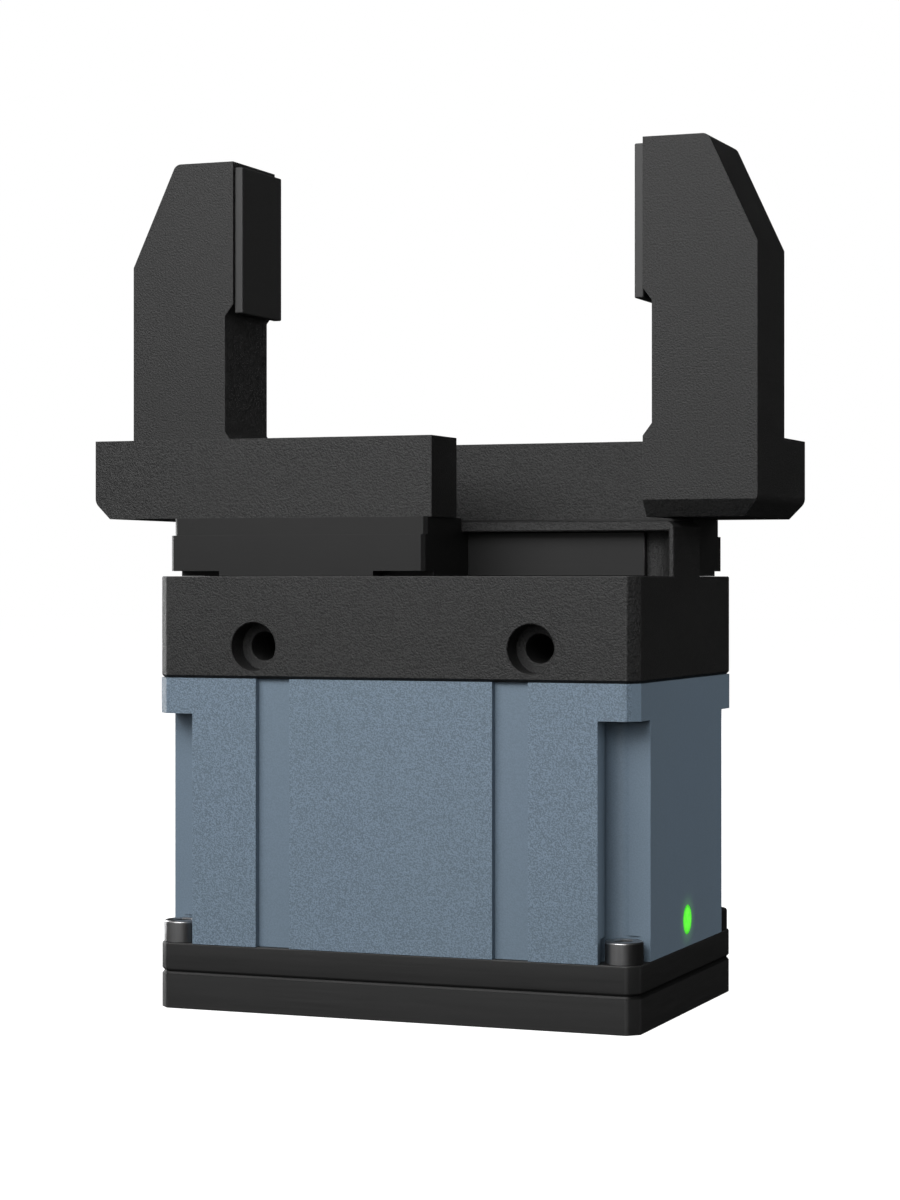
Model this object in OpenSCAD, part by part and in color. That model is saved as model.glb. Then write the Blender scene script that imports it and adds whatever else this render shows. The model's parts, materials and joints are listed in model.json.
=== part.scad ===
// Two-jaw parallel pneumatic gripper with a wedge drive and long angled fingers.
// X is the jaw travel, Y runs from the front to the rear, Z is up.
// The origin is at the middle of the underside. The model stands in its open pose.

/* [Body] */
// Width of the body along the jaw travel
body_w = 116; // [114:1:120]
// Depth of the body from front to rear
body_d = 75; // [75:1:78]
// Chamfer on the upright corners of the body
corner_chamfer = 2.5; // [1:0.5:3]
// Thickness of the adapter plate at the bottom
adapter_h = 8.4; // [8:0.2:12]
// Thickness of the base plate that closes the cylinder
base_h = 6.6; // [6.6:0.2:10]
// Height of the cylinder housing
cylinder_h = 61; // [61:1:70]
// Height of the guide housing below its centre wall
guide_h = 23.3; // [23.3:0.1:26]

/* [Drive] */
// Travel of each jaw, and of the piston
stroke = 16; // [8:1:16]
// Radius of the cylinder bore
bore_r = 25; // [22:1:25]
// Thickness of the piston
piston_h = 12; // [12:1:14]
// Radius of the piston rod
rod_r = 8; // [7:1:8]
// Height of the drive wedge
wedge_h = 18; // [16:1:18]
// Width of the slanted rib on a jaw hook
rib_w = 5; // [4:0.5:5]

/* [Centre wall] */
// Height of the centre wall above the guide housing
wall_h = 12.5; // [12:0.1:14]
// Thickness of the centre wall
wall_w = 21.2; // [20:0.2:22]
// Thickness of the lip over each guide pocket
lip_h = 2.3; // [2:0.1:3]
// Thickness of each guide strip
strip_w = 2; // [1.5:0.1:2.5]

/* [Jaws] */
// Length of a base jaw
jaw_l = 63.3; // [60:0.1:64]
// How far a base jaw reaches past the middle
jaw_past = 6.9; // [6:0.1:8]
// Distance from the centre plane to a jaw's outer face
jaw_out = 33.8; // [33:0.1:34.5]
// Height of the guide housing's top to the jaw's step
jaw_step_h = 9.4; // [8:0.1:10]
// Height of the guide housing's top to the finger seat
jaw_h = 13.4; // [13.4:0.1:15]

/* [Fingers] */
// Distance from the centre to a finger's outer face
finger_out = 77.6; // [76:0.1:78]
// Distance from the centre to a finger's inner face
finger_in = 51; // [49:0.5:52]
// Height of the finger bar
bar_h = 18.3; // [17:0.1:20]
// Width of the finger bar
bar_w = 15.5; // [14:0.5:16]
// Height of the whole finger above the jaw
finger_h = 85.45; // [80:0.05:95]
// Width of the finger upright
upright_w = 23.5; // [20:0.1:23.6]
// Thickness of the gripping pad
pad_t = 2.2; // [1.5:0.1:3]
// Height of the gripping pad
pad_h = 34.9; // [28:0.1:35]

/* [Fasteners and ports] */
// Height of the side mounting holes above the guide housing's underside
side_hole_z = 7.3; // [7:0.1:9]
// Distance between the two side mounting holes
side_hole_pitch = 67; // [66:0.5:68]
// Radius of a side mounting hole
side_hole_r = 3.3; // [2.7:0.1:3.3]
// Radius of an air port's thread core
port_r = 4.3; // [4.3:0.1:4.5]
// Radius of the status light
light_r = 3.4; // [2:0.1:3.5]

/* [Hidden] */
$fn = 64;
eps = 0.05;
half_w = body_w / 2;
half_d = body_d / 2;

// Levels, from the underside up
base_z = adapter_h;
cyl_z = adapter_h + base_h;
guide_z = cyl_z + cylinder_h;
top_z = guide_z + guide_h;
wall_top = top_z + wall_h;
seat_z = top_z + jaw_h;
finger_top = seat_z + finger_h;

// Cylinder housing
flange_h = 8.2;
flange_z = guide_z - flange_h;
groove_in = 24.5;
groove_w = 8.35;
groove_t = 1.9;
pocket_in_x = half_w - 9.1;
pocket_in_y = half_d - 9.3;
pocket_round = 3.05;
pocket_r = 3.3;
relief_r = 5.4;
relief_h = 5.5;

// Corner screws
corner_in = 4.45;
corner_x = half_w - corner_in;
corner_y = half_d - corner_in;

// Piston and rod
piston_gap = 2;
piston_z = cyl_z + piston_gap;
chamber_top = piston_z + piston_h + stroke + 1;
relief_step = 0.6;
running = 0.05;
rod_running = 0.03;
seal_z = chamber_top + 2;
seal_l = 3.5;
bush_z = seal_z + seal_l;
partition_top = chamber_top + 10;
bush_out = rod_r + 3;
seal_out = rod_r + 4;
nut_recess = 5.6;
shoulder_z = piston_z + 8;
spindle_r = 5;
bumper_in = 12;
bumper_out = 20;
bumper_t = 1.5;

// Wedge and hooks
wedge_z = partition_top + 4;
wedge_x = 19;
wedge_y = 12;
slot_t = 6;
slide_gap = 0.1;
spigot_r = 6;
spigot_h = 6;
rib_x = 1;
hook_z = wedge_z + 10;
hook_out = 20;
hook_left = -24;
hook_right = 5;
hook_boss = 12;
hook_top = top_z + 4;
hook_shelf = top_z - 7;
rib_top = wedge_z + 28;
chamber_x = 25.3;
chamber_y = hook_out + 0.3;
plate_t = 4.3;
hook_screw_x = hook_left + hook_boss / 2;
hook_screw_y = -(hook_out + wedge_y) / 2;

// Centre wall
wall_y = wall_w / 2;
web_y = 4.3;
wall_chamfer = 0.4;
wall_end_chamfer = 1.3;
pocket_top = wall_top - lip_h;
cutter_r = 6.2;
cutter_x = half_w - 1.3 - cutter_r;
strip_x = cutter_x - 0.7;

// Base jaws
jaw_left = jaw_past - jaw_l;
jaw_edge = 0.8;
jaw_inset = 0.25;
jaw_lift = 0.05;
foot_left = jaw_left + 12.5;
foot_right = jaw_past - 12.4;
foot_h = 1.2;
neck_out = 27.9;
jaw_upper_out = jaw_out - 1.4;
jaw_back = wall_y + 0.15;
tongue_left = -strip_x - 0.2;
finger_bolts = [-44, -6];

// Fingers
bar_front = -30.8;
bar_in = 7.5;
bar_mid = bar_front + bar_w / 2;
upright_y = upright_w / 2;
foot_chamfer = 3.8;
foot_fillet = 2.7;
overhang_dy = 3;
bevel_dx = 11.4;
bevel_dz = 24.4;
bevel_r = 2;
bevel_a = atan(bevel_dx / bevel_dz);
notch_t = 2.15;
notch_low = seat_z + 18.2;
notch_high = seat_z + 51.5;
notch_rise = 2.85;
pad_z = finger_top - 1.3 - pad_h;
pad_y = upright_y - 0.75;
sleeve_r = 4.5;
sleeve_h = 4;

// Screw sizes: shank radius, head radius, head height, socket across flats
M4 = [2, 3.5, 4, 3];
M5 = [2.5, 4.25, 5, 4];

// Places of the fasteners in the body
housing_bolt_x = 42.5;
housing_bolt_y = 30;
housing_head_z = base_z + 4.2;
housing_bolt_end = cyl_z + 12;
guide_bolt_y = 29.5;
guide_head_z = top_z - 5.3;
guide_bolt_end = guide_z - 14;
dowel_x = 46;
dowel_r = 2.5;
dowel_l = 12;

// Adapter plate interfaces
pilot_r = 15;
pilot_t = 3;
foot_bolt_x = 30;
foot_bolt_y = 25;
foot_bolt_r = 2.5;
pin_hole_x = 45;
pin_hole_r = 2.5;
pin_hole_l = 6;

// Air ports
port_bottom = half_d - 8.5;
spot_r = 6.9;
spot_t = 0.5;
port_low_z = cyl_z + 8;
port_high_z = cyl_z + 25;
duct_r = 1.2;

// Sensing
light_z = cyl_z + 6.1;
bay_x = half_w - 14;
bay_wall = 2;
bay_front = -8;
bay_rear = 21;
bay_h = 27;
rail_t = 2;
board_x = bay_x + 2.4;
board_t = 1.6;
board_h = 23;
socket_x = 41.5;
socket_z = cyl_z + 21;
socket_r = 4.6;
socket_l = 11;
socket_thread_r = 3.5;
socket_thread_l = 4;
well_r = 3;
well_l = 5;
pin_circle = 1.5;

BLACK = [0.2, 0.2, 0.21];
PLATE = [0.17, 0.17, 0.18];
SMOOTH = [0.14, 0.14, 0.15];
BLUE = [0.42, 0.48, 0.54];
STEEL = [0.62, 0.63, 0.65];
DARK_STEEL = [0.36, 0.36, 0.38];
RUBBER = [0.1, 0.1, 0.1];
BRASS = [0.78, 0.62, 0.32];

// ---------- shared shapes ----------

function arc(c, r, a0, a1, n = 8) =
    [for (i = [0:n]) c + r * [cos(a0 + (a1 - a0) * i / n), sin(a0 + (a1 - a0) * i / n)]];

// A rectangle about the centre with its corners cut at 45 degrees
module cut_rectangle(w, d, c) {
    polygon([
        [-w / 2 + c, -d / 2], [w / 2 - c, -d / 2], [w / 2, -d / 2 + c], [w / 2, d / 2 - c],
        [w / 2 - c, d / 2], [-w / 2 + c, d / 2], [-w / 2, d / 2 - c], [-w / 2, -d / 2 + c]
    ]);
}

// One layer of the body between two levels
module body_layer(z0, z1) {
    translate([0, 0, z0])
        linear_extrude(z1 - z0)
            cut_rectangle(body_w, body_d, corner_chamfer);
}

// A box between two opposite corners
module block(low, high) {
    translate(low)
        cube(high - low);
}

// An upright cylinder between two levels
module post(x, y, z0, z1, r) {
    translate([x, y, z0])
        cylinder(h = z1 - z0, r = r);
}

// A flat ring about the Z axis with a rectangular section
module ring(r_in, r_out, z0, z1) {
    rotate_extrude()
        translate([r_in, z0])
            square([r_out - r_in, z1 - z0]);
}

// A ring about the Z axis whose section has its outer corners cut
module seal_ring(r_in, r_out, z0, z1, c) {
    rotate_extrude()
        polygon([
            [r_in, z0], [r_out - c, z0], [r_out, z0 + c],
            [r_out, z1 - c], [r_out - c, z1], [r_in, z1]
        ]);
}

// A socket head cap screw: the head stands on z = 0, the shank hangs below
module cap_screw(size, length) {
    rim = 0.35;
    difference() {
        union() {
            rotate_extrude()
                polygon([
                    [0, 0], [size[1], 0], [size[1], size[2] - rim],
                    [size[1] - rim, size[2]], [0, size[2]]
                ]);
            translate([0, 0, -length])
                cylinder(h = length + eps, r = size[0]);
        }
        translate([0, 0, size[2] / 2])
            cylinder(h = size[2], r = size[3] / 2 / cos(30), $fn = 6);
    }
}

module at_corners(x, y) {
    for (sx = [-1, 1], sy = [-1, 1])
        translate([sx * x, sy * y, 0])
            children();
}

// Places its child as it is, and again turned half round about the Z axis
module both_sides() {
    for (a = [0, 180])
        rotate([0, 0, a])
            children();
}

// Turns a front part into its rear partner
module turned() {
    rotate([0, 0, 180])
        children();
}

// A cylinder along Y between two distances from the centre plane
module y_post(x, z, y0, y1, r) {
    translate([x, y0, z])
        rotate([-90, 0, 0])
            cylinder(h = y1 - y0, r = r);
}

// A cylinder along X between two distances from the centre
module x_post(y, z, x0, x1, r) {
    translate([x0, y, z])
        rotate([0, 90, 0])
            cylinder(h = x1 - x0, r = r);
}

// ---------- base ----------

module adapter_plate() {
    color(PLATE)
        difference() {
            body_layer(0, base_z);
            post(0, 0, -1, pilot_t, pilot_r);
            at_corners(foot_bolt_x, foot_bolt_y)
                post(0, 0, -1, base_z + 1, foot_bolt_r);
            at_corners(corner_x, corner_y)
                post(0, 0, 2, base_z + 1, M5[0]);
            for (s = [-1, 1])
                post(s * pin_hole_x, 0, -1, pin_hole_l, pin_hole_r);
        }
}

module base_plate() {
    color(PLATE)
        difference() {
            body_layer(base_z, cyl_z);
            at_corners(corner_x, corner_y)
                post(0, 0, base_z - 1, cyl_z + 1, M5[0] + 0.25);
            at_corners(housing_bolt_x, housing_bolt_y) {
                post(0, 0, base_z - 1, housing_head_z, M4[1] + 0.3);
                post(0, 0, base_z, cyl_z + 1, M4[0] + 0.25);
            }
            ring(bumper_in, bumper_out, cyl_z - bumper_t, cyl_z + 1);
            ring(bore_r + 1.4, bore_r + 4, cyl_z - 1.7, cyl_z + 1);
        }
}

module corner_screws() {
    color(DARK_STEEL)
        at_corners(corner_x, corner_y)
            translate([0, 0, cyl_z])
                cap_screw(M5, cyl_z - 3);
}

module housing_screws() {
    color(DARK_STEEL)
        at_corners(housing_bolt_x, housing_bolt_y)
            translate([0, 0, housing_head_z])
                rotate([180, 0, 0])
                    cap_screw(M4, housing_bolt_end - housing_head_z - 1);
}

// Face seal round the bore, pressed flat in its groove
module base_seal() {
    color(RUBBER)
        seal_ring(bore_r + 1.5, bore_r + 3.9, cyl_z - 1.7, cyl_z, 0.5);
}

module lower_bumper() {
    color(RUBBER)
        ring(bumper_in + eps, bumper_out - eps, cyl_z - bumper_t, piston_z - 0.02);
}

// ---------- cylinder housing ----------

// One corner pocket, open to the corner, below the flange
module corner_pocket() {
    x = pocket_in_x + pocket_round;
    y = pocket_in_y + pocket_round;
    block([x, pocket_in_y, cyl_z - 1], [half_w + 1, half_d + 1, flange_z]);
    block([pocket_in_x, y, cyl_z - 1], [half_w + 1, half_d + 1, flange_z]);
    post(x, y, cyl_z - 1, flange_z, pocket_r);
    post(corner_x, corner_y, cyl_z - 1, cyl_z + relief_h, relief_r);
}

// Two shallow upright grooves on a face
module face_grooves() {
    for (s = [-1, 1])
        translate([s * (groove_in + groove_w / 2), -half_d, (cyl_z + guide_z) / 2])
            cube([groove_w, 2 * groove_t, cylinder_h + 2], center = true);
}

// An air port on the rear face with its spot face and a slanted duct to the bore
module air_port(z, slant) {
    y_post(0, z, port_bottom, half_d + 1, port_r);
    y_post(0, z, half_d - spot_t, half_d + 1, spot_r);
    translate([0, port_bottom + 2, z])
        rotate([90 + slant, 0, 0])
            cylinder(h = 9.4, r = duct_r);
}

module sensor_bay() {
    block([bay_x, bay_front, cyl_z - 1], [half_w - bay_wall, bay_rear, cyl_z + bay_h]);
    block([board_x - eps, bay_front - rail_t, cyl_z - 1],
          [board_x + board_t + eps, bay_rear + rail_t, cyl_z + bay_h]);
    x_post(0, light_z, half_w - bay_wall - 1, half_w + 1, light_r);
    block([socket_x - 2.5, bay_rear - 6, socket_z - 3],
          [bay_x + 1, half_d - socket_l + eps, socket_z + 3]);
    y_post(socket_x, socket_z, half_d - socket_l, half_d + 1, socket_r);
}

module cylinder_housing() {
    color(BLUE)
        difference() {
            body_layer(cyl_z, guide_z);
            for (mx = [0, 1], my = [0, 1])
                mirror([mx, 0, 0])
                    mirror([0, my, 0])
                        corner_pocket();
            both_sides()
                face_grooves();
            post(0, 0, cyl_z - 1, chamber_top, bore_r);
            post(0, 0, cyl_z - 1, piston_z + 0.2, bore_r + relief_step);
            post(0, 0, chamber_top - 2, chamber_top, bore_r + relief_step);
            ring(bumper_in, bumper_out, chamber_top - 1, chamber_top + bumper_t);
            post(0, 0, chamber_top - 1, partition_top + 1, rod_r + 0.4);
            post(0, 0, seal_z, bush_z, seal_out);
            post(0, 0, bush_z, partition_top + 1, bush_out);
            block([-chamber_x, -wedge_y - 0.4, partition_top],
                  [chamber_x, wedge_y + 0.4, guide_z + 1]);
            block([-chamber_x, -chamber_y, hook_z - 0.5], [chamber_x, chamber_y, guide_z + 1]);
            at_corners(housing_bolt_x, housing_bolt_y)
                post(0, 0, cyl_z - 1, housing_bolt_end, M4[0]);
            at_corners(housing_bolt_x, guide_bolt_y)
                post(0, 0, guide_bolt_end, guide_z + 1, M5[0]);
            for (s = [-1, 1])
                post(s * dowel_x, 0, guide_z - dowel_l / 2, guide_z + 1, dowel_r);
            air_port(port_low_z, 45);
            air_port(port_high_z, -40);
            sensor_bay();
        }
}

module upper_bumper() {
    color(RUBBER)
        ring(bumper_in + eps, bumper_out - eps, chamber_top - 0.98, chamber_top + bumper_t);
}

module rod_seal() {
    color(RUBBER)
        rotate_extrude()
            polygon([
                [rod_r + rod_running, seal_z + eps], [rod_r + 1.5, seal_z + eps],
                [rod_r + 2, seal_z + 1.6], [rod_r + 2.5, seal_z + eps],
                [seal_out - eps, seal_z + eps], [seal_out - eps, bush_z],
                [rod_r + rod_running, bush_z]
            ]);
}

module rod_bush() {
    color(BRASS)
        ring(rod_r + rod_running, bush_out, bush_z, partition_top);
}

module dowel_pins() {
    color(STEEL)
        for (s = [-1, 1])
            post(s * dowel_x, 0, guide_z - dowel_l / 2, guide_z + dowel_l / 2, dowel_r);
}

// ---------- guide housing ----------

module centre_wall() {
    difference() {
        translate([0, 0, top_z - 1])
            linear_extrude(wall_h + 1)
                cut_rectangle(body_w, wall_w, wall_chamfer);
        for (s = [-1, 1])
            translate([s * half_w, 0, wall_top])
                rotate([0, 45, 0])
                    cube([wall_end_chamfer * sqrt(2), body_d, wall_end_chamfer * sqrt(2)],
                         center = true);
    }
}

// The guide pocket in the front of the centre wall, with round ends as a disc cutter leaves
module guide_pocket() {
    block([-cutter_x, -wall_y - 1, top_z], [cutter_x, -web_y, pocket_top]);
    for (s = [-1, 1])
        post(s * cutter_x, -web_y - cutter_r, top_z, pocket_top, cutter_r);
}

// The window in the top plate that a jaw hook's boss slides in
module hook_window() {
    block([hook_left - 0.5, -chamber_y, top_z - plate_t - 1],
          [hook_right + 0.1, -wedge_y + 0.1, top_z + 1]);
}

module guide_housing() {
    color(BLACK)
        difference() {
            union() {
                body_layer(guide_z, top_z);
                centre_wall();
            }
            both_sides() {
                guide_pocket();
                hook_window();
            }
            block([-chamber_x, -chamber_y, guide_z - 1], [chamber_x, chamber_y, top_z - plate_t]);
            for (s = [-1, 1]) {
                y_post(s * side_hole_pitch / 2, guide_z + side_hole_z, -half_d - 1, half_d + 1,
                       side_hole_r);
                y_post(s * side_hole_pitch / 2, guide_z + side_hole_z, -half_d - 1, -half_d + 6, 5.5);
                post(s * dowel_x, 0, guide_z - 1, guide_z + dowel_l / 2, dowel_r);
            }
            at_corners(housing_bolt_x, guide_bolt_y) {
                post(0, 0, guide_head_z, top_z + 1, M5[1] + 0.35);
                post(0, 0, guide_z - 1, top_z, M5[0] + 0.25);
            }
        }
}

module guide_screws() {
    color(DARK_STEEL)
        at_corners(housing_bolt_x, guide_bolt_y)
            translate([0, 0, guide_head_z])
                cap_screw(M5, guide_head_z - guide_bolt_end - 1);
}

module guide_strips() {
    color(DARK_STEEL)
        both_sides()
            block([-strip_x, -web_y - strip_w, top_z], [strip_x, -web_y, pocket_top - 0.1]);
}

// ---------- piston drive ----------

module piston() {
    color(STEEL)
        difference() {
            post(0, 0, piston_z, piston_z + piston_h, bore_r - 0.3);
            ring(bore_r - 5, bore_r + 1, piston_z + 1, piston_z + 3.5);
            ring(bore_r - 2.3, bore_r + 1, piston_z + 4.3, piston_z + 6.6);
            ring(bore_r - 4.4, bore_r + 1, piston_z + 7.6, piston_z + 10.8);
            post(0, 0, piston_z - 1, piston_z + nut_recess, 10.6);
            post(0, 0, piston_z - 1, shoulder_z, spindle_r);
            post(0, 0, shoulder_z, piston_z + piston_h + 1, rod_r);
        }
}

module magnet_ring() {
    color(DARK_STEEL)
        ring(bore_r - 5, bore_r - 0.8, piston_z + 1, piston_z + 3.5);
}

module wear_ring() {
    color([0.75, 0.72, 0.62])
        ring(bore_r - 2.3, bore_r - running, piston_z + 4.3, piston_z + 6.6);
}

module piston_seal() {
    color(RUBBER)
        seal_ring(bore_r - 4.4, bore_r - running, piston_z + 7.6, piston_z + 10.8, 0.6);
}

module piston_nut() {
    color(STEEL)
        difference() {
            translate([0, 0, piston_z + 0.4])
                cylinder(h = nut_recess - 0.4, r = 16 / 2 / cos(30), $fn = 6);
            post(0, 0, piston_z, piston_z + nut_recess + 1, spindle_r);
        }
}

module piston_rod() {
    color(STEEL)
        difference() {
            union() {
                post(0, 0, piston_z + 0.8, shoulder_z + eps, spindle_r);
                post(0, 0, shoulder_z, wedge_z, rod_r);
                post(0, 0, wedge_z - eps, wedge_z + spigot_h, spigot_r);
            }
            post(0, 0, wedge_z - 10, wedge_z + spigot_h + 1, M5[0]);
        }
}

// The slanted bar that a rib of a given width follows, on the front of the wedge
module slant_bar(w, y0, y1) {
    long = 60;
    translate([rib_x, y0, wedge_z + 10])
        rotate([0, -45, 0])
            translate([-w / 2, 0, -long / 2])
                cube([w, y1 - y0, long]);
}

module drive_wedge() {
    color(STEEL)
        difference() {
            block([-wedge_x, -wedge_y, wedge_z], [wedge_x, wedge_y, wedge_z + wedge_h]);
            both_sides()
                slant_bar(rib_w + 2 * slide_gap, -wedge_y - 1, -wedge_y + slot_t);
            post(0, 0, wedge_z - 1, wedge_z + spigot_h, spigot_r);
            post(0, 0, wedge_z, wedge_z + wedge_h, M5[0] + 0.2);
            post(0, 0, wedge_z + wedge_h - 5.2, wedge_z + wedge_h + 1, M5[1] + 0.35);
        }
}

module wedge_screw() {
    color(DARK_STEEL)
        translate([0, 0, wedge_z + wedge_h - 5.2])
            cap_screw(M5, 20);
}

// ---------- sensing ----------

module sensor_board() {
    color([0.1, 0.35, 0.18])
        block([board_x, bay_front - rail_t + 0.2, cyl_z + 1],
              [board_x + board_t, bay_rear + rail_t - 0.2, cyl_z + 1 + board_h]);
}

// Magnetic field sensor on the side of the board that faces the piston
module field_sensor() {
    color(RUBBER)
        block([board_x - 1.4, -3, cyl_z + 8], [board_x, 3, cyl_z + 13]);
}

// Lamp on the board behind the lens
module status_lamp() {
    color([0.8, 0.95, 0.8])
        union() {
            block([board_x + board_t, -2.5, light_z - 2.5],
                  [board_x + board_t + 1.5, 2.5, light_z + 2.5]);
            x_post(0, light_z, board_x + board_t + 1, board_x + board_t + 4, 1.5);
        }
}

module status_lens() {
    color([0.35, 1, 0.25])
        union() {
            x_post(0, light_z, half_w - bay_wall - eps, half_w, light_r - 0.01);
            x_post(0, light_z, half_w - bay_wall - 2, half_w - bay_wall, light_r + 1.2);
        }
}

module socket_shell() {
    color(STEEL)
        difference() {
            y_post(socket_x, socket_z, half_d - socket_l, half_d, socket_r - 0.01);
            y_post(socket_x, socket_z, half_d - socket_thread_l, half_d + 1, socket_thread_r);
            y_post(socket_x, socket_z, half_d - socket_l - 1, half_d, well_r);
        }
}

module socket_insert() {
    color(RUBBER)
        difference() {
            y_post(socket_x, socket_z, half_d - socket_l, half_d - socket_thread_l - well_l, well_r);
            socket_pin_set(half_d - socket_l - 1, half_d);
        }
}

module socket_pin_set(y0, y1) {
    for (a = [45:90:315])
        y_post(socket_x + pin_circle * cos(a), socket_z + pin_circle * sin(a), y0, y1, 0.5);
}

module socket_pins() {
    color(BRASS)
        socket_pin_set(half_d - socket_l - 1.5, half_d - socket_thread_l - 0.6);
}

// ---------- jaws ----------

module jaw_hook() {
    color(STEEL)
        difference() {
            union() {
                block([hook_left, -hook_out, hook_z], [hook_right, -wedge_y - 0.2, hook_shelf]);
                block([hook_left, -hook_out, hook_shelf - eps],
                      [hook_left + hook_boss, -wedge_y - 0.2, hook_top]);
                intersection() {
                    slant_bar(rib_w, -wedge_y - 1, -wedge_y + slot_t - 0.2);
                    block([hook_left, -wedge_y - 1, hook_z], [hook_right, 0, rib_top]);
                }
            }
            post(hook_screw_x, hook_screw_y, hook_shelf + 1, hook_top + 1, M4[0]);
        }
}

module hook_screw() {
    color(DARK_STEEL)
        translate([hook_screw_x, hook_screw_y, seat_z - 4.2])
            cap_screw(M4, 14);
}

module base_jaw() {
    low = top_z + jaw_lift;
    under = top_z + foot_h;
    step = top_z + jaw_step_h;
    color(SMOOTH)
        difference() {
            union() {
                jaw_tier(under, step, jaw_left, jaw_out);
                jaw_tier(step - eps, seat_z, jaw_left + jaw_inset, jaw_upper_out);
                block([jaw_left, -neck_out, low], [jaw_past, -jaw_back, under + eps]);
                block([foot_left, -jaw_out, low], [foot_right, -neck_out + eps, under + eps]);
                block([tongue_left, -jaw_back - eps, low + eps],
                      [jaw_past, -web_y - strip_w - 0.1, pocket_top - 0.15]);
            }
            block([hook_left - eps, -hook_out - eps, low - 1],
                  [hook_left + hook_boss + eps, -wedge_y - 0.2 + eps, hook_top + eps]);
            post(hook_screw_x, hook_screw_y, hook_top, seat_z + 1, M4[0] + 0.2);
            post(hook_screw_x, hook_screw_y, seat_z - 4.2, seat_z + 1, M4[1] + 0.3);
            for (x = finger_bolts) {
                post(x, bar_mid, low + 2, seat_z + 1, M5[0]);
                post(x, bar_mid, seat_z - sleeve_h / 2, seat_z + 1, sleeve_r);
            }
        }
}

// One step of the jaw's outline, with its two front upright edges cut
module jaw_tier(z0, z1, x_left, y_out) {
    translate([0, 0, z0])
        linear_extrude(z1 - z0)
            polygon([
                [x_left, -jaw_back], [x_left, -y_out + jaw_edge], [x_left + jaw_edge, -y_out],
                [jaw_past - jaw_edge, -y_out], [jaw_past, -y_out + jaw_edge], [jaw_past, -jaw_back]
            ]);
}

module locating_sleeves() {
    color(STEEL)
        for (x = finger_bolts)
            translate([x, bar_mid, 0])
                ring(M5[0] + 0.3, sleeve_r, seat_z - sleeve_h / 2, seat_z + sleeve_h / 2);
}

// Side outline of the finger foot's outer lower corner: a cut corner blended into the face
function foot_corner() = concat(
    [[finger_out - foot_chamfer, seat_z]],
    arc([finger_out - foot_fillet, seat_z + foot_chamfer + foot_fillet * tan(22.5)], foot_fillet, -45, 0)
);

// Side outline of the upright, drawn as distance from the centre against height
function upright_outline() = concat(
    [[finger_in, seat_z]],
    foot_corner(),
    [[finger_out, finger_top - bevel_dz]],
    arc([finger_out - bevel_dx - bevel_r * tan(45 - bevel_a / 2), finger_top - bevel_r],
        bevel_r, bevel_a, 90),
    [
        [finger_in, finger_top], [finger_in, notch_high],
        [finger_in + notch_t, notch_high - notch_rise],
        [finger_in + notch_t, notch_low + notch_rise], [finger_in, notch_low]
    ]
);

// Extrudes a side outline along Y on the left of the centre
module side_extrude(points, y0, y1) {
    translate([0, y1, 0])
        rotate([90, 0, 0])
            linear_extrude(y1 - y0)
                polygon([for (p = points) [-p[0], p[1]]]);
}

module finger() {
    bar_top = seat_z + bar_h;
    head_z = bar_top - 5.4;
    color(BLACK)
        difference() {
            union() {
                side_extrude(upright_outline(), -upright_y, upright_y);
                side_extrude(
                    concat([[finger_in, seat_z]], foot_corner(),
                           [[finger_out, bar_top], [finger_in, bar_top]]),
                    bar_front, 0);
                block([-finger_in - 1, bar_front, seat_z], [bar_in, bar_front + bar_w, bar_top]);
            }
            // The foot's rear lower edge is cut where it hangs over the other jaw's row
            translate([0, upright_y - overhang_dy, seat_z])
                rotate([atan(foot_chamfer / overhang_dy), 0, 0])
                    translate([-finger_out - 1, 0, -10])
                        cube([finger_out - finger_in + 2, 12, 10]);
            for (x = finger_bolts) {
                post(x, bar_mid, seat_z - 1, bar_top + 1, M5[0] + 0.25);
                post(x, bar_mid, head_z, bar_top + 1, M5[1] + 0.45);
                post(x, bar_mid, seat_z - 1, seat_z + sleeve_h / 2, sleeve_r);
            }
        }
}

module finger_screws() {
    head_z = seat_z + bar_h - 5.4;
    color(DARK_STEEL)
        for (x = finger_bolts)
            translate([x, bar_mid, head_z])
                cap_screw(M5, head_z - top_z - 3.5);
}

module pad() {
    color([0.23, 0.23, 0.24])
        block([-finger_in, -pad_y, pad_z], [-finger_in + pad_t, pad_y, pad_z + pad_h]);
}

adapter_plate();
base_plate();
corner_screws();
housing_screws();
base_seal();
lower_bumper();
cylinder_housing();
upper_bumper();
rod_seal();
rod_bush();
dowel_pins();
guide_housing();
guide_screws();
guide_strips();
piston();
piston_seal();
wear_ring();
magnet_ring();
piston_nut();
piston_rod();
drive_wedge();
wedge_screw();
sensor_board();
field_sensor();
status_lamp();
status_lens();
socket_shell();
socket_insert();
socket_pins();
jaw_hook();  // jaw_hook_front
hook_screw();  // hook_screw_front
base_jaw();  // base_jaw_front
locating_sleeves();  // sleeves_front
finger();  // finger_front
finger_screws();  // finger_screws_front
pad();  // pad_front
turned() jaw_hook();  // jaw_hook_rear
turned() hook_screw();  // hook_screw_rear
turned() base_jaw();  // base_jaw_rear
turned() locating_sleeves();  // sleeves_rear
turned() finger();  // finger_rear
turned() finger_screws();  // finger_screws_rear
turned() pad();  // pad_rear
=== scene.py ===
"""Studio picture of a two-jaw pneumatic gripper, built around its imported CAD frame."""
import json
import math

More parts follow.
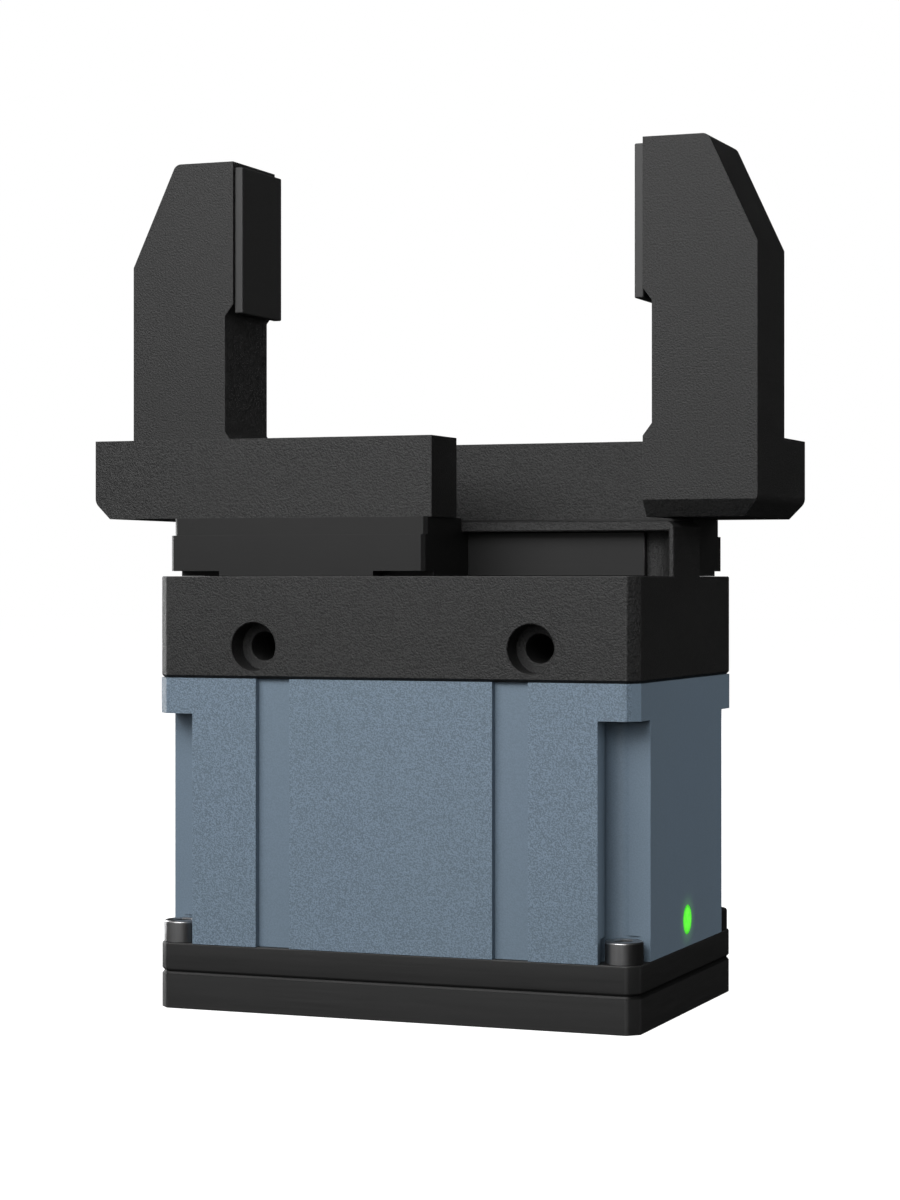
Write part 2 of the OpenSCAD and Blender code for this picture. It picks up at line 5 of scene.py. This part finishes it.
import bmesh
import bpy
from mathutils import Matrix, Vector


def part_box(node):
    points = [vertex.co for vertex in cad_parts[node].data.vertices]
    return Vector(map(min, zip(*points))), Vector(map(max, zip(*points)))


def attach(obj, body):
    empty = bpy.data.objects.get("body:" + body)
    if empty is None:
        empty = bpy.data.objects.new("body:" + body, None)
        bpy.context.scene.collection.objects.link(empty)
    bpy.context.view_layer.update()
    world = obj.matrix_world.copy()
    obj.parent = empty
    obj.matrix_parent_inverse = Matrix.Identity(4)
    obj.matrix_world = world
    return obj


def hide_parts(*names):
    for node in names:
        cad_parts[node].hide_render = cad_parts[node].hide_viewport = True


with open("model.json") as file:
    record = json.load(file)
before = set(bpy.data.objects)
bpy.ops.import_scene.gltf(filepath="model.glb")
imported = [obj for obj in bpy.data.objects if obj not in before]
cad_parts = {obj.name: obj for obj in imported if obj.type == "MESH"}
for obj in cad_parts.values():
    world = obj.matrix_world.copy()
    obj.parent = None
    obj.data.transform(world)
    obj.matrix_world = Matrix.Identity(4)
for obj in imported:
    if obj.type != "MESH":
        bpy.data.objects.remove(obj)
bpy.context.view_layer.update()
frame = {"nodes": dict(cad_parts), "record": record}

MM = 0.001
SCENE = bpy.context.scene
NODES = frame["nodes"]
BODY_OF = {
    node: body
    for body, nodes in frame["record"]["behaviour"]["bodies"].items()
    for node in nodes
}
SLOT_OF = {row["node"]: row["material_slot"] for row in frame["record"]["subparts"]}


# ---------- camera ----------

def make_camera():
    """A level camera at the front right, a little above the middle of the body."""
    data = bpy.data.cameras.new("camera")
    data.lens = 84.33
    data.sensor_width = 36
    data.shift_y = -0.01617
    data.clip_start = 0.01
    camera = bpy.data.objects.new("camera", data)
    camera.location = (0.24148, -0.61596, 0.0983)
    camera.rotation_euler = (math.radians(90), 0, math.radians(21.4166))
    SCENE.collection.objects.link(camera)
    SCENE.camera = camera


# ---------- node graph helpers ----------

class Graph:
    """Builds a material's node tree with short calls."""

    def __init__(self, name):
        self.material = bpy.data.materials.new(name)
        self.material.use_nodes = True
        self.tree = self.material.node_tree
        self.shader = self.tree.nodes["Principled BSDF"]
        self.coords = self.add("ShaderNodeTexCoord").outputs["Object"]

    def add(self, kind, **values):
        """A new node. Upper-case names set inputs (spaces as _), lower-case names set properties."""
        node = self.tree.nodes.new(kind)
        for key, value in values.items():
            if key[0].isupper():
                self.put(node.inputs[key.replace("_", " ")], value)
            else:
                setattr(node, key, value)
        return node

    def put(self, socket, value):
        if isinstance(value, bpy.types.NodeSocket):
            self.tree.links.new(value, socket)
        else:
            socket.default_value = value

    def math(self, operation, a, b=0.0):
        node = self.add("ShaderNodeMath", operation=operation)
        self.put(node.inputs[0], a)
        self.put(node.inputs[1], b)
        return node.outputs[0]

    def stretch(self, scale):
        """Object coordinates with each axis scaled by its own factor."""
        node = self.add("ShaderNodeMapping", Vector=self.coords, Scale=scale)
        return node.outputs["Vector"]

    def noise(self, size, detail=2.0, roughness=0.5, vector=None, contrast=None):
        """Noise whose features are about size metres across."""
        node = self.add("ShaderNodeTexNoise", Scale=1 / size, Detail=detail, Roughness=roughness,
                        Vector=vector or self.coords)
        if contrast is None:
            return node.outputs["Fac"]
        return self.remap(node.outputs["Fac"], 0.5 - contrast, 0.5 + contrast, 0, 1)

    def remap(self, value, low, high, out_low, out_high):
        node = self.add("ShaderNodeMapRange", Value=value, From_Min=low, From_Max=high,
                        To_Min=out_low, To_Max=out_high)
        return node.outputs["Result"]

    def mix(self, factor, a, b):
        node = self.add("ShaderNodeMix", data_type="RGBA")
        self.put(node.inputs["Factor"], factor)
        self.put(node.inputs[6], a)
        self.put(node.inputs[7], b)
        return node.outputs[2]

    def axis(self, name):
        """One object coordinate, in metres."""
        node = self.add("ShaderNodeSeparateXYZ", Vector=self.coords)
        return node.outputs[name]

    def edges(self):
        """1 on the broken edges that the mesh work marks, 0 on open faces."""
        return self.add("ShaderNodeAttribute", attribute_name="edge").outputs["Fac"]

    def with_seam_shade(self, colour):
        """A colour that turns nearly black on the chamfers beside the joints of two parts: painted shade
        standing in for the dark gap where the parts meet.
        """
        seam_shade = self.add("ShaderNodeAttribute", attribute_name="seam_shade").outputs["Fac"]
        return self.mix(self.math("MULTIPLY", seam_shade, 0.9), colour, grey(0.002))

    def bump(self, height, distance, strength=1.0, normal=None):
        node = self.add("ShaderNodeBump", Height=height, Distance=distance, Strength=strength)
        if normal:
            self.put(node.inputs["Normal"], normal)
        return node.outputs["Normal"]


def grey(value):
    return (value, value, value, 1)


def tone(colour, factor):
    return tuple(c * factor for c in colour[:3]) + (1,)


# ---------- materials ----------

def blasted_black(name, level=0.013):
    """Bead-blasted black anodised aluminium: an even fine grain, slightly paler worn edges."""
    g = Graph(name)
    fine = g.noise(0.42 * MM, detail=2, roughness=0.6, contrast=0.15)
    soft = g.noise(1.8 * MM, detail=3, contrast=0.3)
    cloud = g.noise(30 * MM, detail=2, contrast=0.3)
    body = g.mix(fine, grey(level * 0.05), grey(level * 2.0))
    body = g.mix(g.math("MULTIPLY", soft, 0.3), body, grey(level * 1.35))
    body = g.mix(g.math("MULTIPLY", cloud, 0.25), body, grey(level * 0.75))
    wear = g.math("MULTIPLY", g.edges(), g.remap(soft, 0, 1, 0.05, 0.35))
    # Near-black painted shade on the chamfers beside the joints of two parts.
    g.put(g.shader.inputs["Base Color"], g.with_seam_shade(g.mix(wear, body, grey(level * 3))))
    g.put(g.shader.inputs["Roughness"], g.remap(fine, 0, 1, 0.5, 0.62))
    grain = g.bump(fine, 0.08 * MM, 0.8)
    g.put(g.shader.inputs["Normal"], g.bump(soft, 0.012 * MM, 0.4, normal=grain))
    return g.material


def brushed_black(name, level=0.0125):
    """Black anodised plate with faint brush lines along its long edges."""
    g = Graph(name)
    lines_x = g.noise(0.7 * MM, detail=4, roughness=0.65, vector=g.stretch((0.03, 1.0, 1.0)), contrast=0.25)
    lines_y = g.noise(0.7 * MM, detail=4, roughness=0.65, vector=g.stretch((1.0, 0.03, 1.0)), contrast=0.25)
    normal = g.add("ShaderNodeSeparateXYZ", Vector=g.add("ShaderNodeNewGeometry").outputs["Normal"])
    side = g.math("GREATER_THAN", g.math("ABSOLUTE", normal.outputs["X"]), 0.75)
    lines = g.math("ADD", g.math("MULTIPLY", lines_x, g.math("SUBTRACT", 1.0, side)),
                   g.math("MULTIPLY", lines_y, side))
    cloud = g.noise(20 * MM, detail=2, contrast=0.3)
    body = g.mix(lines, grey(level * 0.75), grey(level * 1.25))
    body = g.mix(g.math("MULTIPLY", cloud, 0.25), body, grey(level * 0.8))
    wear = g.math("MULTIPLY", g.edges(), g.remap(cloud, 0, 1, 0.05, 0.3))
    # Near-black painted shade on the chamfers beside the joints of two parts.
    g.put(g.shader.inputs["Base Color"], g.with_seam_shade(g.mix(wear, body, grey(level * 3))))
    g.put(g.shader.inputs["Roughness"], g.remap(lines, 0, 1, 0.5, 0.64))
    g.put(g.shader.inputs["Normal"], g.bump(lines, 0.02 * MM, 0.4))
    return g.material


def smooth_black(name, level=0.0085):
    """Ground and blackened steel of the base jaws: smooth, with faint grinding lines."""
    g = Graph(name)
    lines = g.noise(0.4 * MM, detail=3, vector=g.stretch((0.03, 1.0, 1.0)), contrast=0.3)
    cloud = g.noise(12 * MM, detail=3, contrast=0.3)
    body = g.mix(cloud, grey(level * 0.9), grey(level * 1.1))
    wear = g.math("MULTIPLY", g.edges(), 0.3)
    g.put(g.shader.inputs["Base Color"], g.mix(wear, body, grey(level * 3)))
    g.put(g.shader.inputs["Roughness"], g.remap(lines, 0, 1, 0.46, 0.52))
    g.put(g.shader.inputs["Normal"], g.bump(lines, 0.006 * MM, 0.3))
    g.shader.inputs["Specular IOR Level"].default_value = 0.4
    return g.material


GROOVE_SIDE = 0.9 * MM       # beyond this distance from the front or rear face, a surface is milled


def blue_housing(name):
    """Blue-grey anodised housing: blasted front and rear panels, smoother milled grooves and sides."""
    g = Graph(name)
    panel_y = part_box("cylinder_housing")[1].y - GROOVE_SIDE
    colour = (0.118, 0.161, 0.21, 1)
    panel = g.math("GREATER_THAN", g.math("ABSOLUTE", g.axis("Y")), panel_y)
    fine = g.noise(0.34 * MM, detail=1.5, roughness=0.6, contrast=0.12)
    soft = g.noise(2.2 * MM, detail=3, contrast=0.3)
    cloud = g.noise(35 * MM, detail=2, contrast=0.35)
    amount = g.remap(panel, 0, 1, 0.25, 1.0)
    fine_here = g.math("ADD", 0.5, g.math("MULTIPLY", g.math("SUBTRACT", fine, 0.5), amount))
    body = g.mix(fine_here, tone(colour, 0.66), tone(colour, 1.34))
    body = g.mix(g.math("MULTIPLY", soft, 0.3), body, tone(colour, 1.06))
    body = g.mix(g.math("MULTIPLY", cloud, 0.3), body, tone((0.116, 0.162, 0.19), 0.95))
    wear = g.math("MULTIPLY", g.edges(), g.remap(soft, 0, 1, 0.15, 0.55))
    body = g.mix(wear, body, tone(colour, 1.7))
    # Near-black painted shade on the chamfers beside the joints of two parts.
    g.put(g.shader.inputs["Base Color"], g.with_seam_shade(body))
    g.put(g.shader.inputs["Roughness"], g.remap(fine_here, 0, 1, 0.46, 0.6))
    grain = g.bump(fine, 0.05 * MM, g.math("MULTIPLY", amount, 0.6))
    g.put(g.shader.inputs["Normal"], g.bump(soft, 0.04 * MM, 0.3, normal=grain))
    # Painted green glow round the status light, emitted by the housing itself.
    painted_light_spill(g)
    return g.material


def from_lens(g):
    """Distance from the middle of the status light's face, in metres."""
    low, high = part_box("status_lens")
    away = g.add("ShaderNodeVectorMath", operation="DISTANCE")
    g.put(away.inputs[0], g.coords)
    away.inputs[1].default_value = Vector((high.x, (low.y + high.y) / 2, (low.z + high.z) / 2))
    return away.outputs["Value"]


def painted_light_spill(g):
    """A painted glow: the housing itself emits a faint green light round the status light, fading within a
    few millimetres, in place of the lamp's spill.
    """
    glow = g.math("POWER", g.remap(from_lens(g), 3 * MM, 7.5 * MM, 1, 0), 2.4)
    g.shader.inputs["Emission Color"].default_value = (0.2, 0.75, 0.12, 1)
    g.put(g.shader.inputs["Emission Strength"], g.math("MULTIPLY", glow, 0.14))


def metal(name, colour, rough=0.3, metallic=1.0, grain=0.6 * MM, lines=(1.0, 1.0, 0.06), wear=0.3):
    """Bare or coated metal with fine turning lines and a little wear on its edges."""
    g = Graph(name)
    lathe = g.noise(grain, detail=3, vector=g.stretch(lines), contrast=0.3)
    cloud = g.noise(6 * MM, detail=3, contrast=0.3)
    body = g.mix(lathe, tone(colour, 0.86), tone(colour, 1.1))
    body = g.mix(g.math("MULTIPLY", cloud, 0.3), body, tone(colour, 0.8))
    body = g.mix(g.math("MULTIPLY", g.edges(), wear), body, tone(colour, 1.5))
    g.put(g.shader.inputs["Base Color"], body)
    g.shader.inputs["Metallic"].default_value = metallic
    g.put(g.shader.inputs["Roughness"], g.remap(lathe, 0, 1, rough * 0.88, rough * 1.15))
    g.put(g.shader.inputs["Normal"], g.bump(lathe, 0.006 * MM, 0.4))
    return g.material


def plastic(name, colour, rough=0.5, grain=0.5 * MM, depth=0.35):
    """Moulded plastic or rubber with a fine spark-eroded grain."""
    g = Graph(name)
    fine = g.noise(grain, detail=2, contrast=0.28)
    cloud = g.noise(10 * MM, detail=3, contrast=0.3)
    body = g.mix(fine, tone(colour, 0.8), tone(colour, 1.2))
    body = g.mix(g.math("MULTIPLY", cloud, 0.3), body, tone(colour, 0.85))
    body = g.mix(g.math("MULTIPLY", g.edges(), 0.4), body, tone(colour, 1.6))
    g.put(g.shader.inputs["Base Color"], body)
    g.put(g.shader.inputs["Roughness"], g.remap(fine, 0, 1, rough * 0.9, rough * 1.12))
    g.put(g.shader.inputs["Normal"], g.bump(fine, 0.03 * MM, depth))
    return g.material


def circuit_board(name):
    """Green solder mask over copper tracks on a fine grid."""
    g = Graph(name)
    cells = g.add("ShaderNodeTexVoronoi", feature="DISTANCE_TO_EDGE", Scale=1 / (2.8 * MM), Vector=g.coords)
    track = g.remap(cells.outputs["Distance"], 0.06, 0.1, 1, 0)
    g.put(g.shader.inputs["Base Color"], g.mix(track, (0.012, 0.09, 0.035, 1), (0.03, 0.2, 0.075, 1)))
    g.put(g.shader.inputs["Roughness"], g.remap(track, 0, 1, 0.38, 0.3))
    g.put(g.shader.inputs["Normal"], g.bump(track, 0.03 * MM, 0.5))
    return g.material


def lit_lens(name):
    """Diffusing green lens, lit from behind: a mottled bright middle and a deeper rim."""
    g = Graph(name)
    mottle = g.noise(0.8 * MM, detail=3, contrast=0.25)
    rim = g.remap(from_lens(g), 2.5 * MM, 3.4 * MM, 0, 1)
    body = g.mix(mottle, (0.06, 0.85, 0.02, 1), (0.2, 1.0, 0.09, 1))
    body = g.mix(g.math("MULTIPLY", rim, 0.75), body, (0.015, 0.3, 0.015, 1))
    g.put(g.shader.inputs["Base Color"], body)
    g.put(g.shader.inputs["Emission Color"], body)
    g.shader.inputs["Emission Strength"].default_value = 0.62
    g.put(g.shader.inputs["Roughness"], g.remap(mottle, 0, 1, 0.28, 0.38))
    return g.material


def make_materials():
    """One material for each slot of the record."""
    return {
        "black_blasted": blasted_black("black_blasted"),
        "black_plate": brushed_black("black_plate"),
        "black_smooth": smooth_black("black_smooth"),
        "blue_anodised": blue_housing("blue_anodised"),
        "dark_steel": metal("dark_steel", (0.38, 0.38, 0.385), rough=0.34, wear=0.8),
        "steel": metal("steel", (0.56, 0.57, 0.58), rough=0.26),
        "bare_aluminium": metal("bare_aluminium", (0.66, 0.67, 0.68), rough=0.34),
        "bronze": metal("bronze", (0.6, 0.4, 0.17), rough=0.42),
        "gold_pin": metal("gold_pin", (0.85, 0.62, 0.22), rough=0.2, grain=0.3 * MM),
        "black_rubber": plastic("black_rubber", (0.018, 0.018, 0.018), rough=0.62),
        "pad_plastic": plastic("pad_plastic", (0.016, 0.016, 0.016), rough=0.46, grain=0.35 * MM),
        "ring_plastic": plastic("ring_plastic", (0.45, 0.41, 0.31), rough=0.48),
        "black_plastic": plastic("black_plastic", (0.02, 0.02, 0.022), rough=0.45),
        "board_green": circuit_board("board_green"),
        "lamp_clear": plastic("lamp_clear", (0.62, 0.8, 0.62), rough=0.2, depth=0.1),
        "lens_green": lit_lens("lens_green"),
    }


# ---------- mesh work ----------

SHARP = math.radians(28)     # an edge turned by less than this belongs to a curved face
SHORT = 1.3 * MM             # edges shorter than this run round a hole or a small curve
HOLE_EDGE = 0.2              # how far the rim of a hole is broken, in mm
LEVEL = 0.02 * MM            # how near two heights count as the same
SEAM_SHADE_REACH = 0.8 * MM        # how far the band of painted shade goes from the joint of two parts
SEAMS = [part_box("adapter_plate")[1].z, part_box("guide_housing")[0].z]
ROUNDED = ("pad_front", "pad_rear", "status_lens")
PLATES = ("adapter_plate", "base_plate")     # flat parts, whose edges have room for their full chamfers


def open_mesh(node):
    """A working copy of a CAD node's mesh, with split points joined and flat areas merged."""
    bm = bmesh.new()
    bm.from_mesh(NODES[node].data)
    bmesh.ops.remove_doubles(bm, verts=bm.verts, dist=0.002 * MM)
    bmesh.ops.dissolve_limit(bm, angle_limit=math.radians(0.5), use_dissolve_boundaries=False,
                             verts=bm.verts, edges=bm.edges, delimit=set())
    return bm


def edge_width(edge, width, rims):
    """How far an edge is cut back, in mm: 0 for inward edges and edges within a curved face."""
    if len(edge.link_faces) != 2 or not edge.is_convex or edge.calc_face_angle(0) < SHARP:
        return 0
    for height, rim_width in rims:
        if all(abs(v.co.z - height) < LEVEL for v in edge.verts):
            return rim_width if edge.calc_length() > SHORT else HOLE_EDGE
    return width if edge.calc_length() > SHORT else min(width, HOLE_EDGE)


def in_seam_shade(face):
    """True on the chamfers next to a joint of two parts, which get the near-black painted shade."""
    slanted = 0.2 < abs(face.normal.z) < 0.98
    return slanted and any(abs(face.center.z - height) < SEAM_SHADE_REACH for height in SEAMS)


def broken_edges(node, width, rims):
    """The node's mesh with its outward edges cut, with the cut faces marked in "edge" and the chamfers
    beside joints marked for painted shade.
    """
    bm = open_mesh(node)
    weights = bm.edges.layers.float.new("bevel_weight_edge")
    for edge in bm.edges:
        edge[weights] = edge_width(edge, width, rims)
    rough = bpy.data.meshes.new("rough")
    bm.to_mesh(rough)
    bm.free()
    for _ in range(2):
        rough.materials.append(None)     # the second one marks the faces that the cut makes
    piece = bpy.data.objects.new("rough", rough)
    SCENE.collection.objects.link(piece)
    cut = piece.modifiers.new("chamfer", "BEVEL")
    cut.width = MM
    cut.segments = 3 if node in ROUNDED else 1
    cut.limit_method = "WEIGHT"
    cut.use_clamp_overlap = node not in PLATES
    cut.loop_slide = False
    cut.material = 1
    mesh = bpy.data.meshes.new_from_object(piece.evaluated_get(bpy.context.evaluated_depsgraph_get()))
    edges = mesh.attributes.new("edge", "FLOAT", "FACE")
    for face in mesh.polygons:
        edges.data[face.index].value = float(face.material_index == 1)
        face.material_index = 0
    # Marks the chamfers beside the joints, which the materials paint near-black as shade.
    seam_shade_layer = mesh.attributes.new("seam_shade", "FLOAT", "FACE")
    for face in mesh.polygons:
        seam_shade_layer.data[face.index].value = float(in_seam_shade(face))
    bpy.data.objects.remove(piece)
    bpy.data.meshes.remove(rough)
    return mesh


def show(mesh, name, node):
    """Makes a mesh the shown piece of a CAD node, with clean normals, riding on its body."""
    for key in ("custom_normal", "bevel_weight_edge", "sharp_edge", "sharp_face"):
        if key in mesh.attributes:
            mesh.attributes.remove(mesh.attributes[key])
    mesh.shade_smooth()
    mesh.set_sharp_from_angle(angle=math.radians(40))
    mesh.materials.clear()
    mesh.materials.append(MATERIALS[SLOT_OF[node]])
    piece = bpy.data.objects.new(name, mesh)
    SCENE.collection.objects.link(piece)
    weighted = piece.modifiers.new("weighted_normals", "WEIGHTED_NORMAL")
    weighted.keep_sharp = True
    weighted.weight = 90
    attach(piece, BODY_OF[node])
    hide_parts(node)


def machined(node, width, rims):
    """Replaces a CAD node with the same shape whose outward edges are broken."""
    show(broken_edges(node, width, rims), node + "_machined", node)


def dress_inner_nodes(shown):
    """CAD nodes that keep their own mesh get their slot's material."""
    for node, obj in NODES.items():
        if node not in shown:
            obj.data.materials.clear()
            obj.data.materials.append(MATERIALS[SLOT_OF[node]])


# ---------- studio ----------

AMBIENT_LOW = 0.03           # strength of the soft light from straight below
AMBIENT_HIGH = 0.18          # and from straight above
SCREEN_DARK = 0.014          # what gloss sees away from the screen
SCREEN_BRIGHT = 0.3          # and in its middle
SCREEN_TOWARDS = (-26, 30)   # azimuth and elevation of the screen, in degrees
AIM = Vector((0, 0, 0.1))    # the lights point at the top of the body


def direction(azimuth, elevation):
    """A direction by its angle from the front towards the right, and its height above level."""
    a, e = math.radians(azimuth), math.radians(elevation)
    return Vector((math.sin(a) * math.cos(e), -math.cos(a) * math.cos(e), math.sin(e)))


def area_light(name, azimuth, elevation, distance, size, power, glossy=True):
    """A soft rectangular light aimed at the object: angles in degrees, lengths in metres, watts."""
    data = bpy.data.lights.new(name, "AREA")
    data.shape = "RECTANGLE"
    data.size, data.size_y = size
    data.energy = power
    light = bpy.data.objects.new(name, data)
    away = direction(azimuth, elevation)
    light.location = AIM + away * distance
    light.rotation_euler = away.to_track_quat("Z", "Y").to_euler()
    light.visible_glossy = glossy
    SCENE.collection.objects.link(light)


def lobe(tree, towards, start, end, low, high):
    """A world strength that rises smoothly towards one direction."""
    coords = tree.nodes.new("ShaderNodeTexCoord")
    dot = tree.nodes.new("ShaderNodeVectorMath")
    dot.operation = "DOT_PRODUCT"
    dot.inputs[1].default_value = towards
    ramp = tree.nodes.new("ShaderNodeMapRange")
    ramp.interpolation_type = "SMOOTHSTEP"
    for key, value in (("From Min", start), ("From Max", end), ("To Min", low), ("To Max", high)):
        ramp.inputs[key].default_value = value
    tree.links.new(coords.outputs["Generated"], dot.inputs[0])
    tree.links.new(dot.outputs["Value"], ramp.inputs["Value"])
    background = tree.nodes.new("ShaderNodeBackground")
    tree.links.new(ramp.outputs["Result"], background.inputs["Strength"])
    return background.outputs["Background"]


def make_world():
    """White to the eye; soft even light all round; gloss sees a wide screen at the front left."""
    world = bpy.data.worlds.new("studio")
    world.use_nodes = True
    tree = world.node_tree
    seen = tree.nodes["Background"].outputs["Background"]
    tree.nodes["Background"].inputs["Color"].default_value = (1, 1, 1, 1)
    soft = lobe(tree, (0, 0, 1), -1, 1, AMBIENT_LOW, AMBIENT_HIGH)
    screen = lobe(tree, direction(*SCREEN_TOWARDS), 0.1, 0.95, SCREEN_DARK, SCREEN_BRIGHT)
    path = tree.nodes.new("ShaderNodeLightPath")
    shade = soft
    for switch, shader in (("Is Glossy Ray", screen), ("Is Camera Ray", seen)):
        mix = tree.nodes.new("ShaderNodeMixShader")
        tree.links.new(path.outputs[switch], mix.inputs["Fac"])
        tree.links.new(shade, mix.inputs[1])
        tree.links.new(shader, mix.inputs[2])
        shade = mix.outputs["Shader"]
    tree.links.new(shade, tree.nodes["World Output"].inputs["Surface"])
    SCENE.world = world


def make_floor():
    """A pale floor that shows only a soft contact shadow."""
    bm = bmesh.new()
    bmesh.ops.create_grid(bm, x_segments=8, y_segments=8, size=6)
    mesh = bpy.data.meshes.new("floor")
    bm.to_mesh(mesh)
    bm.free()
    floor = bpy.data.objects.new("floor", mesh)
    floor.location.z = -0.05 * MM
    SCENE.collection.objects.link(floor)
    g = Graph("floor")
    mottle = g.noise(50 * MM, detail=2, contrast=0.4)
    g.put(g.shader.inputs["Base Color"], g.mix(mottle, grey(0.3), grey(0.32)))
    g.shader.inputs["Roughness"].default_value = 0.9
    g.shader.inputs["Specular IOR Level"].default_value = 0.0
    g.shader.inputs["Emission Color"].default_value = (1, 1, 1, 1)
    g.shader.inputs["Emission Strength"].default_value = 0.96
    mesh.materials.append(g.material)
    floor.visible_diffuse = False
    floor.visible_glossy = False


make_camera()
MATERIALS = make_materials()

# How far each part's edges are broken, in mm, and its rims at a given height where that differs
CUTS = {
    "adapter_plate": (0.5, [(0, 0.15), (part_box("adapter_plate")[1].z, 0.65)]),
    "base_plate": (0.5, [(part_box("base_plate")[0].z, 0.65), (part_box("base_plate")[1].z, 0.35)]),
    "corner_screws": (0.3, []),
    "cylinder_housing": (0.35, [(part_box("cylinder_housing")[0].z, 0.2),
                                (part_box("cylinder_housing")[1].z, 0.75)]),
    "guide_housing": (0.35, [(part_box("guide_housing")[0].z, 0.8)]),
    "guide_screws": (0.25, []),
    "guide_strips": (0.2, []),
    "base_jaw_front": (0.35, []),
    "base_jaw_rear": (0.35, []),
    "finger_front": (0.5, [(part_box("finger_front")[1].z, 0.25)]),
    "finger_rear": (0.5, [(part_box("finger_rear")[1].z, 0.25)]),
    "finger_screws_front": (0.25, []),
    "finger_screws_rear": (0.25, []),
    "pad_front": (0.35, []),
    "pad_rear": (0.35, []),
    "status_lens": (0.15, []),
    "socket_shell": (0.25, []),
}
for cad_node, (cut_width, cut_rims) in CUTS.items():
    machined(cad_node, cut_width, cut_rims)
dress_inner_nodes(CUTS)

make_world()
make_floor()
area_light("near_light", -10, 32, 0.52, (0.55, 0.3), 2.5)
area_light("front_light", 4, 18, 1.3, (1.0, 0.8), 9.2, glossy=False)
area_light("right_light", 120, 5, 1.2, (0.5, 0.8), 7.8, glossy=False)
area_light("left_light", -112, 12, 1.2, (0.5, 0.9), 9)
area_light("rear_light", 180, 25, 1.3, (1.2, 0.9), 14, glossy=False)
SCENE.view_settings.view_transform = "Standard"
